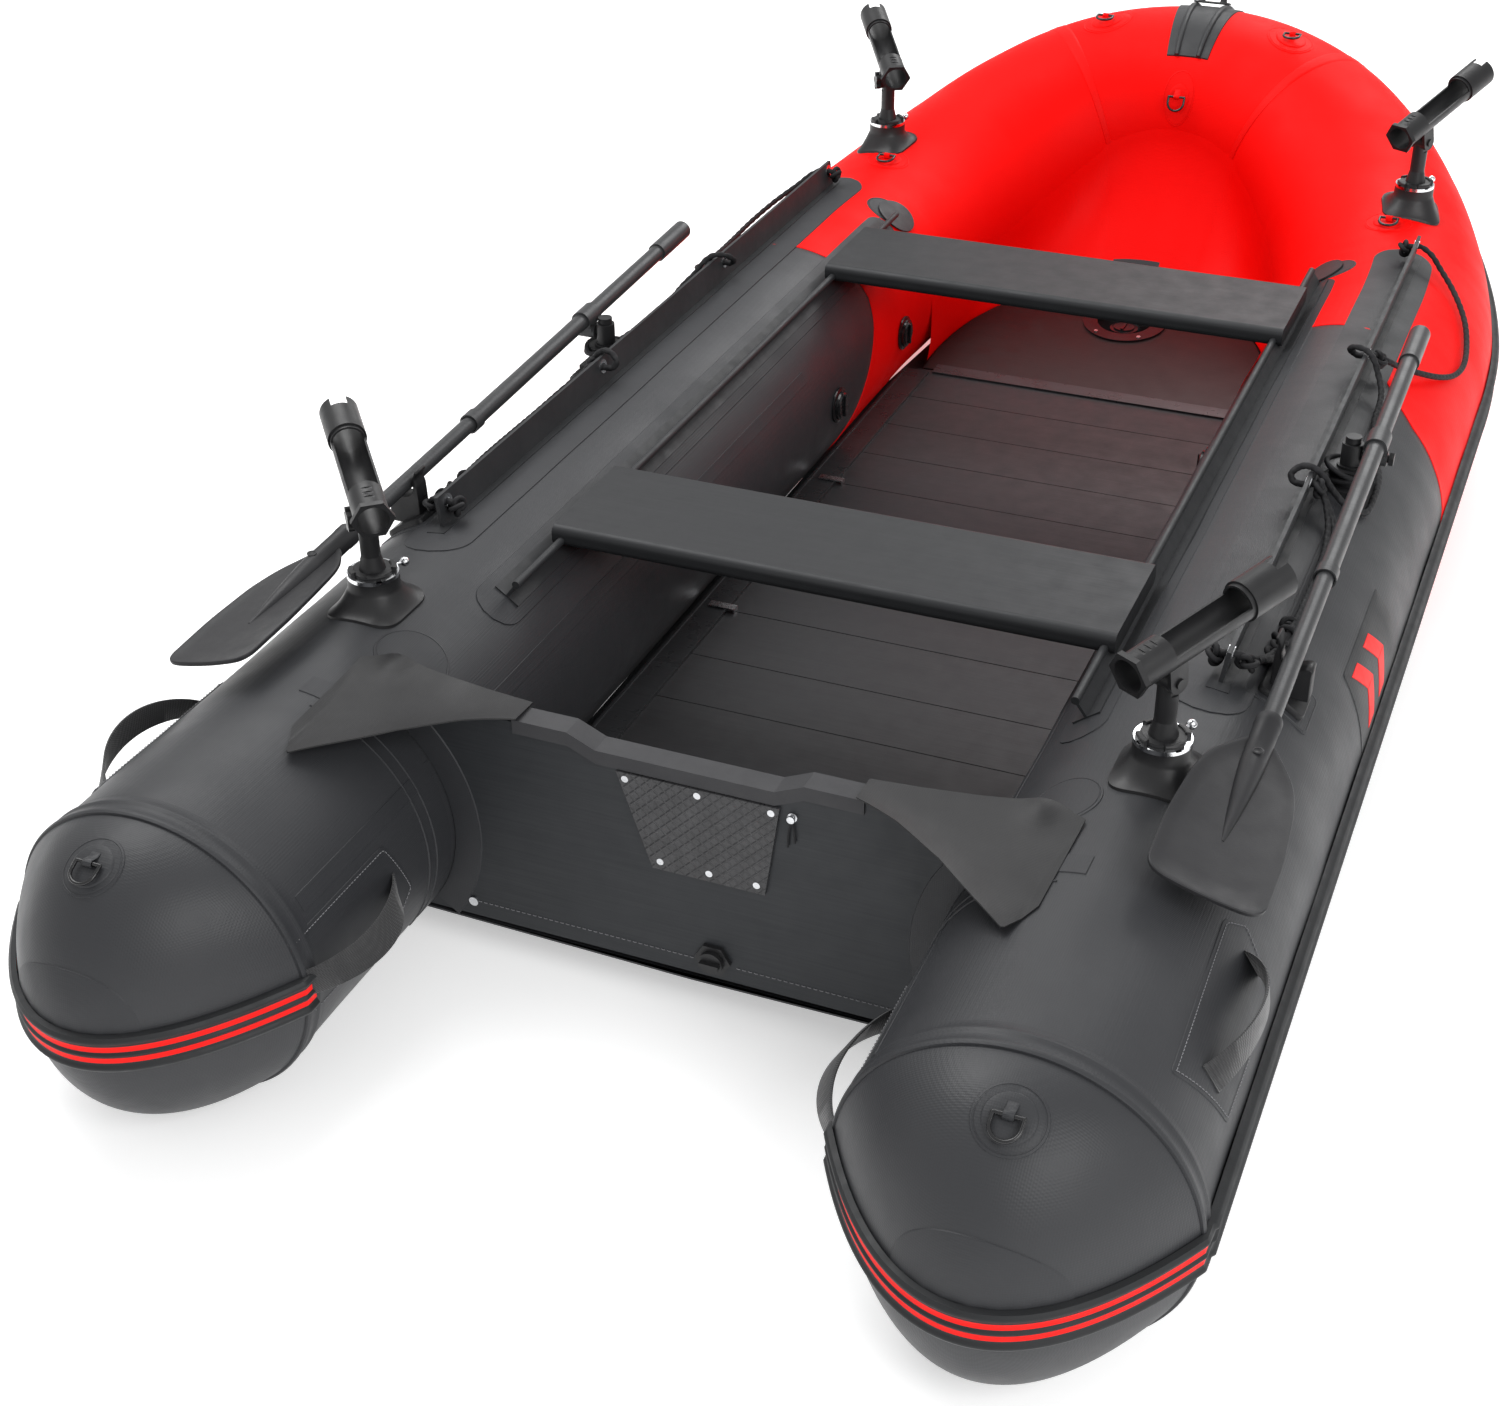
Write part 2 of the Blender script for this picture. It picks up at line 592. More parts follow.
# ---- stern cones ----
steps = np.radians(np.concatenate([[90], np.linspace(87, 4, 44)]))
s_cone = -CONE_LEN * np.cos(steps) ** 2
s_cone[0] = 0.004
cone_s, cone_t = np.meshgrid(s_cone, ring, indexing="ij")
cone_v = skin_base(np.minimum(cone_s, -1e-6) * (cone_s < 0) + 0.002 * (cone_s > 0), cone_t).reshape(-1, 3)
cone_f = flipped(grid_faces(len(s_cone), ROUND, closed_v=True))
tip = len(cone_v)
cone_v = np.concatenate([cone_v, [[TX, -STERN_Y - CONE_LEN, R]]])
last = (len(s_cone) - 1) * ROUND
cone_f += [(last + (k + 1) % ROUND, last + k, tip) for k in range(ROUND)]
batch = Batch()
batch.both(cone_v, cone_f)
batch.make("stern_cone_skins", "charcoal", slot="stern_cones", replaces=["stern_cones"])


# ---- cloth inside the bow, from the chamber's inner wall down to the bow board ----
a_ = np.radians(np.linspace(0, 180, 181))
edge = np.stack([BOARD_HALF * np.sign(np.cos(a_)) * np.abs(np.cos(a_)) ** 0.75,
                 BOARD_LEN * np.sin(a_) ** 0.9], -1)
polar, far = np.arctan2(edge[:, 1], edge[:, 0]), np.linalg.norm(edge, axis=-1)
s_in = np.linspace(along(0.800), TOTAL - along(0.800), 150)
line = skin(s_in, np.full(len(s_in), math.radians(-88)), 0.0006)
down = unit(skin(s_in, np.full(len(s_in), math.radians(-92)))
            - skin(s_in, np.full(len(s_in), math.radians(-84))))
turn_a = np.arctan2(line[:, 1] - BOARD_Y, line[:, 0])
r_in = np.interp(turn_a, polar, far) + 0.006
low_y = BOARD_Y + r_in * np.sin(turn_a)
low_z = BOARD_Z + (low_y - BOARD_Y) * math.tan(BOARD_RISE * RAD)
low = np.stack([r_in * np.cos(turn_a), low_y, low_z], -1)
near = line + down * 0.11
foot = low + (line - low) * [0.18, 0.18, 0.16]
rows_ = [skin(s_in, np.full(len(s_in), math.radians(-81)), -0.0020), line]
for t in np.linspace(0.05, 1, 18):
    rows_.append((1 - t) ** 3 * line + 3 * t * (1 - t) ** 2 * near + 3 * t * t * (1 - t) * foot
                 + t ** 3 * low)
f = grid_faces(len(rows_), len(s_in))
dark_from = 18.5 - 5.5 * np.exp(-((line[:, 0] + 0.03) / 0.15) ** 2)
mats = [0 if i < dark_from[j] else 1 for i in range(len(rows_) - 1) for j in range(len(s_in) - 1)]
piece("bow_inner_cloth", np.concatenate(rows_), f, ["red", "charcoal_patch"], face_mat=mats, slot="bow_tube")

# ---- seam bands round the chambers ----
def ring_band(place_s, profile, th0=-180, th1=180, closed=True):
    """A taped seam round a chamber: profile lists (along, lift) from stern to bow."""
    a = np.radians(np.linspace(th0, th1, 140, endpoint=not closed))
    d, z = np.transpose(profile)
    s, th = np.meshgrid(place_s + d, a, indexing="ij")
    lift = np.broadcast_to(z[:, None], s.shape)
    return skin(s, th, lift), grid_faces(len(d), len(a), closed_v=closed)


batch = Batch()
batch.both(*ring_band(0.0, [(0.0005, -0.0008), (0.001, 0.0030), (0.004, 0.0046), (0.0085, 0.0046),
                            (0.012, 0.0026), (0.018, 0.0022), (0.023, 0.0022), (0.026, 0.0038),
                            (0.030, 0.0038), (0.033, 0.0016), (0.043, 0.0014), (0.0445, -0.0008)]))
batch.make("cone_seam_bands", "charcoal_patch", slot="stern_cones")

batch = Batch()
tape = [(-0.020, -0.0008), (-0.0185, 0.0014), (0.0185, 0.0014), (0.020, -0.0008)]
bead = [(-0.0025, -0.0008), (-0.001, 0.0016), (0.001, 0.0016), (0.0025, -0.0008)]
for dy, shape, th0, th1 in ((-0.032, tape, -128, -6), (-0.070, bead, -128, -14), (0.055, tape, -122, -40)):
    batch.both(*ring_band(along(dy - TRANSOM_Y), shape, th0, th1, closed=False))
# flange of the same tape on the transom's aft face
arc = np.radians(np.linspace(-126, -10, 60))
for r0, r1, y, lift in ((0.2112, 0.252, -TRANSOM_Y, 0.0018), (0.2112, 0.248, -TRANSOM_Y + 0.030, -0.0018)):
    rs = [(r0, lift), (r1 - 0.0015, lift), (r1, -lift * 0.2)]
    v = np.array([[(TX + r * math.sin(t), y - h, R + r * math.cos(t)) for t in arc] for r, h in rs])
    v = v.reshape(-1, 3)
    kept = [f for f in grid_faces(3, len(arc)) if max(v[i][2] for i in f) < 0.405]
    batch.both(v, kept if lift > 0 else flipped(kept))
batch.make("transom_tapes", "charcoal_patch", slot="port_tube")

# soft weld seams of the bow chamber
batch = Batch()
for s in (seams[2], seams[3]):
    batch.add(*ring_band(s, [(-0.013, -0.0006), (-0.011, 0.0009), (-0.006, 0.0009), (0.0, 0.0014),
                             (0.006, 0.0009), (0.011, 0.0009), (0.013, -0.0006)], -86, 70, closed=False))
batch.make("bow_weld_seams", "red_patch", slot="bow_tube")


# ---- rubbing strake ----
def strake_height(v):
    w = np.abs(v)
    h = 0.0085 + 0.0055 * np.exp(-((w - 0.0205) / 0.0042) ** 2) + 0.0042 * np.exp(-(v / 0.0030) ** 2)
    return np.where(w > 0.0265, 0.0, h)


half_v = np.array([0.0014, 0.0028, 0.0042, 0.0046, 0.0085, 0.0124, 0.0128, 0.0145, 0.0165, 0.0185, 0.0205,
                   0.0225, 0.0245, 0.0264, 0.0275])
strake_v = np.concatenate([-half_v[::-1], [0.0], half_v])
strake_h = strake_height(strake_v)
cone_a = np.radians(np.linspace(-90, 90, 73))
# each stop is a place on the skin, the way out from it, and whether it is on a cone
stops = [((TX - R, y - STERN_Y, R), (-1, 0, 0), True) for y in (0.016, 0.006)]
for t in cone_a:
    n = unit(np.array([2 * CONE_LEN * math.sin(t), -R, 0.0]))
    stops.append(((TX + R * math.sin(t), -STERN_Y - CONE_LEN * math.cos(t) ** 2, R), tuple(n), True))
stops += [((TX + R, y - STERN_Y, R), (1, 0, 0), True) for y in (0.010, 0.020)]
for s in np.arange(0.024, NOSE, 0.02):
    c, n, u = axis_frame(s)
    stops.append((tuple(c + R * n), tuple(n), False))
stops += [((-x, y, z), (-nx, ny, nz), cone) for (x, y, z), (nx, ny, nz), cone in reversed(stops)]
run, out = np.array([q[0] for q in stops]), np.array([q[1] for q in stops], float)
on_cone = [q[2] for q in stops]
# even out the outward directions where the seam turns sharply
for _ in range(3):
    out[1:-1] = unit(out[:-2] + 2 * out[1:-1] + out[2:])
low = np.where(on_cone, 0.75, 1.0)[:, None, None]
up = np.array([0, 0, 1.0])
verts = run[:, None] + out[:, None] * strake_h[:, None] * low + up * strake_v[:, None]
faces = grid_faces(len(run), len(strake_v))
middle = np.abs(strake_v[1:] + strake_v[:-1]) / 2
striped = (0.0045 < middle) & (middle < 0.0125)
mats = [int(a and b and red) for a, b in zip(on_cone, on_cone[1:]) for red in striped]
faces += flipped(caps(len(run), len(strake_v)))
mats += [0, 0]
piece("rubbing_strake", verts, faces, ["strake", "stripe"], face_mat=mats, slot="rubbing_strakes",
      replaces=["rubbing_strakes"], crease=50)


# ---- patches ----
THIN = [(0.0, -0.0005), (0.0010, 0.0010), (0.0022, 0.0012)]
WELDED = [(0.0, -0.0005), (0.0008, 0.0012), (0.0030, 0.0015), (0.0038, 0.0008), (0.0048, 0.0008),
          (0.0056, 0.0016)]

# wear patch low on each cone, above the strake
batch = Batch()
rings, n_arc = [1.0, 0.985, 0.97, 0.8, 0.55, 0.3, 0.02], 40


def halve(lo, hi, passes, inside):
    """The last place inside, between one that is and one that is not."""
    for _ in range(passes):
        mid = (lo + hi) / 2
        lo, hi = (mid, hi) if inside(mid) else (lo, mid)
    return lo


def in_cone(dx, dz, q):
    """Whether a place on the cross-section lies inside the cone, q of the way to its tip."""
    return (dx / (R * math.sqrt(1 - q + 1e-9))) ** 2 + (dz / (R * math.sqrt(1 - q * q + 1e-9))) ** 2 < 1


verts = []
for k, f in enumerate(rings):
    for t in np.linspace(0, math.pi, n_arc):
        dx, dz = 0.012 + 0.098 * f * math.cos(t), 0.024 + 0.078 * f * math.sin(t) * (1 - 0.12 * math.cos(t))
        lift = -0.0004 if k == 0 else 0.0014
        d = CONE_LEN * halve(0.0, 1.0, 40, lambda q: in_cone(dx, dz, q))
        verts.append((TX + dx, -STERN_Y - d - lift * 0.9, R + dz + lift * 0.45))
batch.both(verts, flipped(grid_faces(len(rings), n_arc)))
batch.make("cone_wear_patches", "charcoal_patch", slot="fabric_patches")


def cone_place(turn):
    """Maps a flat patch onto a stern cone, square to the plane of its ring."""
    def covered(a, b, height):
        q = turn @ Vector((a, b, height))
        return in_cone(q.x - TX, q.z - R, min(max((-STERN_Y - q.y) / CONE_LEN, 0.0), 0.9999))

    def put(u, v, lift):
        return np.array([turn @ Vector((a, b, h + halve(-0.10, 0.06, 34, lambda z: covered(a, b, z))))
                         for a, b, h in zip(np.ravel(v), np.ravel(u), np.ravel(lift))])

    return put


# ring feet: a double-edged round patch, and a webbing tab over the bar
RINGS = [("stern", 0.572, -1.663, 0.402, 26.5, True), ("side", 0.520, 0.985, 0.436, 9.0, True),
         ("bow", 0.205, 1.515, 0.622, 4.0, True), ("towing", 0.0, 1.371, 0.510, 65.0, False)]
dark, light = Batch(), Batch()
tabs_dark, tabs_light = Batch(), Batch()
for name, x, y, z, tilt, twice in RINGS:
    s0, th0 = locate(x, y, z)
    turn = Matrix.Translation((x, y, z)) @ Matrix.Rotation(math.radians(tilt), 4, "X")
    place = cone_place(turn) if name == "stern" else on_skin(s0, th0)
    base, tab = (dark, tabs_dark) if name == "stern" else (light, tabs_light)
    outer = circle(0.042 if name == "stern" else 0.047)
    if name == "towing":
        outer = ellipse(0.047, 0.060)
    shells = [patch(place, outer, WELDED), patch(place, circle(0.030),
            [(0.0, 0.0012), (0.0012, 0.0030), (0.0026, 0.0034)])]
    path = [(0.017, 0.0030), (0.010, 0.0046), (0.0052, 0.0088), (0.0024, 0.0112), (-0.0012, 0.0114),
            (-0.0040, 0.0092), (-0.0048, 0.0062), (-0.0050, 0.0022)]
    loop = []
    for px in (-0.0064, -0.0056, 0.0056, 0.0064):
        drop = 0.0008 if abs(px) > 0.006 else 0.0
        loop.append([turn @ Vector((px, py, pz - drop)) for py, pz in path])
    verts = np.array(loop).reshape(-1, 3)
    faces = flipped(grid_faces(4, len(path)))
    for v, f in shells:
        (base.both if twice else base.add)(v, f)
    (tab.both if twice else tab.add)(verts, faces)
dark.make("ring_patches_stern", "charcoal_patch", slot="fabric_patches", replaces=["fabric_patches"])
light.make("ring_patches_bow", "red_patch", slot="bow_tube")
tabs_dark.make("ring_tabs_stern", "charcoal_patch", slot="fabric_patches")
tabs_light.make("ring_tabs_bow", "red_patch", slot="bow_tube")

# patches under the fittings on the chambers' tops
batch = Batch()
for y, th, outline in ((-1.095, -28, circle(0.056)), (CLIP_Y, CLIP_TH,
        rectangle(0.048, -0.056, 0.050, 0.014, 0.012)), (-0.12, 23,
        rectangle(0.062, -0.040, 0.046, 0.02, 0.012))):
    batch.both(*patch(on_tube(y, th), outline, WELDED))
batch.make("fitting_patches", "charcoal_patch", slot="fabric_patches")


def round_row(at, angles, r, depth):
    """A level ring of points at the given angles, depth below a place."""
    return np.stack([at[0] + r * np.cos(angles), at[1] + r * np.sin(angles),
                     np.full(len(angles), at[2] - depth)], -1)


# moulded feet of the rod holders: round under the ring, flaring to a rounded square on the chamber
batch = Batch()
for x, y, z in (STERN_ROD, BOW_ROD):
    s0, th0 = locate(x, y, z - 0.05)
    place = on_skin(s0, th0)
    square = rectangle(0.060, -0.056, 0.056, 0.034, 0.007, 8)
    foot = place(square[:, 0], square[:, 1], np.full(len(square), 0.0040))
    hem = place(square[:, 0] * 1.02, square[:, 1] * 1.02, np.full(len(square), -0.0006))
    turn_a = np.arctan2(foot[:, 1] - y, foot[:, 0] - x)
    waist = round_row((x, y, z), turn_a, 0.0372, 0.022)
    bend = 0.62 * round_row((x, y, z), turn_a, 0.041, 0.040) + 0.38 * foot
    bend[:, 2] = np.minimum(bend[:, 2], waist[:, 2] - 0.004)
    rows_ = [hem, foot] + [(1 - t) ** 2 * foot + 2 * t * (1 - t) * bend + t * t * waist
                           for t in np.linspace(0.08, 1, 12)]
    for r, depth in ((0.0372, 0.0072), (0.0372, 0.0062), (0.0225, 0.0062), (0.0225, 0.034)):
        rows_.append(round_row((x, y, z), turn_a, r, depth))
    f = grid_faces(len(rows_), len(turn_a), closed_v=True)
    batch.both(np.concatenate(rows_), f if turning(foot[:, :2]) > 0 else flipped(f))
batch.make("rod_feet", "plastic", slot="rod_bases", replaces=["rod_bases"], crease=45)

# clips that hold the stowed oars: a tall inner horn and a low outer lip
batch = Batch()
cx, cz = OAR_AT[0], OAR_AT[2] - (OAR_AT[1] - CLIP_Y) * math.tan(OAR_LEAN * RAD)
horn = [(-0.027, -0.066), (-0.0265, -0.022), (-0.0255, 0.0), (-0.0215, 0.012), (-0.0275, 0.023),
        (-0.0225, 0.0265), (-0.0160, 0.012), (-0.0175, 0.0), (-0.0160, -0.009), (-0.0105, -0.0165),
        (0.0, -0.0195), (0.0105, -0.0180), (0.0160, -0.0160), (0.0235, -0.0150), (0.0275, -0.0185),
        (0.0265, -0.026), (0.027, -0.066)]
horn = rounded(horn, 0.003, 4)
rows_ = []
for dy, d in ((-0.0140, 0.0016), (-0.0124, 0.0), (0.0124, 0.0), (0.0140, 0.0016)):
    q = inset(horn, d)
    rows_.append(np.stack([cx + q[:, 0], np.full(len(q), CLIP_Y + dy), cz + q[:, 1]], -1))
n = len(horn)
batch.both(np.concatenate(rows_), loft(4, n) if turning(horn) < 0 else flipped(loft(4, n)))
place = on_tube(CLIP_Y, CLIP_TH)
batch.both(*patch(place, rectangle(0.034, -0.038, 0.034, 0.012, 0.008),
                  [(0.0, 0.0), (0.0, 0.006), (0.003, 0.0095)]))
batch.make("oar_clip_horns", "black_rubber", slot="oar_clips", replaces=["oar_clips"], crease=45)


def band(y0, y1, th0, th1, lift):
    """A long strip glued along a chamber, with its ends rounded off."""
    w = (th1 - th0) * RAD * R / 2
    mid = math.radians((th0 + th1) / 2)
    us = np.concatenate([[0, 0.0012], np.arange(0.01, w, 0.008), np.arange(w, (y1 - y0) - w, 0.03),
                         (y1 - y0) - np.arange(0.01, w, 0.008)[::-1], [(y1 - y0) - 0.0012, y1 - y0]])
    us = np.unique(us)
    past = np.clip(1 - np.minimum(us, (y1 - y0) - us) / w, 0, 1)
    shape = np.maximum(np.sqrt(1 - past ** 2), 0.02)[:, None]
    across = np.array([-1.0, -1 + 0.0012 / w, -0.97, -0.5, 0, 0.5, 0.97, 1 - 0.0012 / w, 1.0])
    z = np.array([-0.0006] + 7 * [lift] + [-0.0006])
    s = along(y0) + us[:, None] + 0 * across[None]
    th = mid + across[None] * w * shape / R
    zz = np.where((us[:, None] <= 0) | (us[:, None] >= y1 - y0), -0.0006, z[None] + 0 * s)
    return skin(s, th, zz), grid_faces(len(us), len(across))


batch = Batch()
batch.both(*band(-0.86, 0.885, -9.5, 21.0, 0.0016))
batch.both(*band(-0.93, 0.765, -47.0, -25.5, 0.0016))
batch.both(*patch(on_tube(0.806, -29), circle(0.043), WELDED))
batch.make("rail_bases", "charcoal_patch", slot="rope_rails")

# long joint between the panels of each side chamber
batch = Batch()
for th in (-62, 118):
    v, f = strip(on_skin(0.05, math.radians(th)), np.arange(0.0, 1.72, 0.04),
                 [(-0.012, -0.0005), (-0.011, 0.0007), (0.011, 0.0007), (0.012, -0.0005)])
    batch.both(v, f)
batch.make("chamber_panel_seams", "charcoal_patch", slot="port_tube")


# ---- carry handles ----
def stitches(place, outline):
    step, length, r, lift = 0.0062, 0.0040, 0.00055, 0.0018
    b = Batch()
    p = resample(outline, 0.002)
    p = np.concatenate([p, p[:1]])
    d = run_length(p)
    for q in np.arange(0, d[-1] - length, step):
        u = np.interp([q, q + length / 2, q + length], d, p[:, 0])
        v = np.interp([q, q + length / 2, q + length], d, p[:, 1])
        line = place(u, v, np.array([lift - r, lift + r * 0.8, lift - r]))
        b.add(*tube(line, r, 6))
    return b


HANDLES = [(-86, -1.472), (57, -1.335)]
batch, straps, sewn = Batch(), Batch(), Batch()
for th, y in HANDLES:
    place = on_tube(y, th)
    if th > 0:
        foot = [(-0.160, -0.055), (-0.110, 0.062), (0.110, 0.062), (0.150, -0.030), (0.120, -0.062)]
    else:
        foot = [(-0.100, -0.062), (-0.111, 0.062), (0.110, 0.062), (0.150, -0.030), (0.120, -0.062)]
    shape = resample(rounded(foot, 0.010), 0.010)
    batch.both(*patch(place, shape, THIN))
    st = stitches(place, inset(shape if turning(shape) < 0 else shape[::-1], 0.006))
    sewn.both(st.verts, st.faces)
    # strap: flat ends sewn down, and a loop that rolls a little at the grip
    u = np.concatenate([[-0.109, -0.106], np.linspace(-0.103, 0.103, 45), [0.106, 0.109]])
    k = np.clip(1 - np.abs(u / 0.106) ** 2.0, 0, 1)
    rise = 0.0024 + 0.040 * k ** 0.9
    reach_u = u * (1 + 0.05 * k)
    wide = 0.019 - 0.0045 * k
    loops = []
    for q, h, uu, w, kk in zip(u, rise, reach_u, wide, k):
        thick = 0.0026 + 0.0022 * kk
        prof = [(-w, 0.0), (-w + 0.0012, thick / 2), (w - 0.0012, thick / 2), (w, 0.0),
                (w - 0.0012, -thick / 2), (-w + 0.0012, -thick / 2)]
        tip = 0.65 * kk
        loops.append([(uu, pv, h + pz - tip * pv) for pv, pz in prof])
    loops = np.array(loops)
    v = place(loops[..., 0].ravel(), loops[..., 1].ravel(), np.maximum(loops[..., 2].ravel(), 0.0006))
    straps.both(v, loft(len(loops), 6))
batch.make("handle_patches", "charcoal_patch", slot="carry_handles")
straps.make("carry_straps", "webbing", slot="carry_handles", replaces=["carry_handles"], crease=60)
sewn.make("handle_stitching", "thread", slot="carry_handles")

# ---- splash flaps between the transom and the chambers ----
front = np.array([(0.236, -1.166), (0.30, -1.160), (0.37, -1.150), (0.430, -1.138), (0.472, -1.132),
                  (0.508, -1.150)])
back = np.array([(0.236, -1.214), (0.30, -1.246), (0.37, -1.292), (0.430, -1.346), (0.476, -1.385),
                 (0.503, -1.330)])
nu, nv = 44, 26
us, vs = np.linspace(0, 1, nu), np.linspace(0, 1, nv)
fx = np.interp(us * (len(front) - 1), range(len(front)), front[:, 0])
fy = np.interp(us * (len(front) - 1), range(len(front)), front[:, 1])
bx = np.interp(us * (len(back) - 1), range(len(back)), back[:, 0])
by = np.interp(us * (len(back) - 1), range(len(back)), back[:, 1])
X = fx[:, None] + (bx - fx)[:, None] * vs[None]
Y = fy[:, None] + (by - fy)[:, None] * vs[None]
tube_z = R + np.sqrt(np.maximum(R * R - (X - TX) ** 2, 0))
u_ = us[:, None] + 0 * X
v_ = vs[None] + 0 * X
Z = 0.4185 - 0.007 * np.sin(math.pi * u_ * 0.95) * np.sin(math.pi * np.clip(v_, 0, 1)) + 0.003 * v_ * (1 - u_)
Z += 0.009 * np.exp(-((X - 0.452) / 0.022) ** 2 - ((Y + 1.150) / 0.030) ** 2)
Z += 0.004 * np.sin(9 * u_) * v_ ** 2 * (1 - u_)
Z -= 0.011 * np.clip((u_ - 0.55) / 0.45, 0, 1) ** 1.5 * v_
Z = np.maximum(Z, tube_z + 0.0032)
top = np.stack([X, Y, Z], -1)
low = top - [0, 0, 0.0022]
verts = np.concatenate([top.reshape(-1, 3), low.reshape(-1, 3)])
n = nu * nv
faces = flipped(grid_faces(nu, nv)) + [tuple(i + n for i in f) for f in grid_faces(nu, nv)]
rim = ([i * nv for i in range(nu)] + [(nu - 1) * nv + j for j in range(1, nv)]
       + [i * nv + nv - 1 for i in range(nu - 2, -1, -1)] + [j for j in range(nv - 2, 0, -1)])
faces += [(a, b, b + n, a + n) for a, b in zip(rim, rim[1:] + rim[:1])]
for name, flip in SIDES:
    flap = piece(f"splash_flap_{name}", verts, faces, ["flap"], slot="transom_flaps",
                 replaces=["transom_flaps"], mirror=flip, crease=50)


# ---- strip over the bow, with two line posts ----
side = [(0.020, 0.0035), (0.022, 0.0085), (0.0235, 0.0095), (0.0285, 0.0095), (0.030, 0.0085), (0.032, 0.003),
        (0.0492, 0.003), (0.050, -0.0006)]
prof = [(-v, h) for v, h in side[::-1]] + side
angles = np.radians(np.concatenate([[-44.6, -44.0], np.arange(-41, 79, 3.0), [81.4, 82.0]]))
across, height = np.transpose(prof)
lift = np.repeat(height[:, None], len(angles), 1)
lift[:, 0] = lift[:, -1] = -0.0006
batch = Batch()
batch.add(skin(NOSE + across[:, None], angles[None], lift), grid_faces(len(prof), len(angles)))
batch.make("bow_strip_skin", "rubber", slot="bow_strip", replaces=["bow_strip"], crease=35)
posts = Batch()
c, n, u = axis_frame(NOSE)
tilt = math.radians(17)
normal = unit(n * math.sin(tilt) + u * math.cos(tilt))
fwd = unit(n * math.cos(tilt) - u * math.sin(tilt))
origin = c + normal * (R + 0.0098)
turn = Matrix(((1, fwd[0], normal[0], origin[0]), (0, fwd[1], normal[1], origin[1]),
               (0, fwd[2], normal[2], origin[2]), (0, 0, 0, 1)))
plate = rounded([(-0.040, -0.016), (0.040, -0.016), (0.040, 0.016), (-0.040, 0.016)], 0.007)
levels = [(0, 0.0), (0, 0.0028), (0.0012, 0.004)]
v = []
for d, h in levels:
    q = inset(plate, d)
    v += [turn @ Vector((a_, b_, h)) for a_, b_ in q]
n_p = len(plate)
f = grid_faces(3, n_p, closed_v=True) + [tuple(2 * n_p + k for k in range(n_p))]
posts.add(v, f)
for side in (-1, 1):
    at = turn @ Matrix.Translation((side * 0.024, 0, 0.003))
    posts.add(*turned([(0.0001, 0), (0.009, 0), (0.0075, 0.003), (0.0068, 0.008), (0.0072, 0.013),
                       (0.0098, 0.0155), (0.0102, 0.0175), (0.0090, 0.0192), (0.004, 0.0199),
                       (0.0001, 0.0200)], at))
posts.make("bow_line_posts", "plastic", slot="bow_strip", crease=45)

# ---- grab ropes ----
ROUTE = [(572, 823, 448), (584, 823, 451), (602, 823, 453), (620, 817, 446), (648, 795, 424), (682, 755, 398),
         (712, 700, 370), (728, 635, 350), (734, 565, 342), (728, 495, 350), (710, 425, 371), (682, 365, 398),
         (648, 320, 424), (622, 291, 446), (606, 285, 454), (594, 285, 452), (581, 284, 449), (571, 281, 455),
         (567, 272, 463), (573, 262, 472), (587, 254, 476), (602, 247, 473), (614, 238, 462), (624, 226, 446),
         (634, 203, 434), (642, 105, 411), (658, 20, 405), (678, -50, 394), (682, -120, 391),
         (674, -185, 396), (652, -202, 412), (628, -207, 438), (613, -212, 460), (600, -216, 472),
         (586, -219, 476), (573, -222, 470), (567, -226, 461), (571, -229, 453), (582, -230, 450),
         (594, -230, 452), (606, -230, 453), (620, -241, 443), (636, -275, 424), (646, -335, 412),
         (650, -415, 410), (650, -495, 410), (648, -585, 411), (642, -665, 416), (630, -725, 432),
         (616, -753, 447), (602, -760, 453), (590, -760, 452), (572, -760, 448)]
ROPE_R, PITCH, KNOT_R = 0.0050, 0.016, 0.0040


def braid(path):
    """A braided rope: strands each way round, as low ridges that cross."""
    d = run_length(path)

    def height(i, a):
        w = 2 * math.pi * d[i] / PITCH
        return ROPE_R * (0.95 + 0.11 * np.maximum(np.cos(2 * a + w), np.cos(2 * a - w + 1.57)))

    return tube(path, ROPE_R, 16, twist=height)


def knot(at, size, lean):
    """A small knot: a closed torus-knot path."""
    t = np.linspace(0, 2 * math.pi, 150, endpoint=False)
    rad = 1 + 0.48 * np.cos(3 * t)
    p = np.stack([rad * np.cos(2 * t), rad * np.sin(2 * t), 0.66 * np.sin(3 * t)], -1) * size / 1.5
    rot = (Matrix.Rotation(lean[2], 3, "Z") @ Matrix.Rotation(lean[1], 3, "Y")
           @ Matrix.Rotation(lean[0], 3, "X"))
    p = np.array([rot @ Vector(q) for q in p]) + np.array(at)
    v = tube_verts(np.concatenate([p, p[:2]]), KNOT_R, 10)[:-2]
    return v.reshape(-1, 3), flipped(loft(len(v), 10))


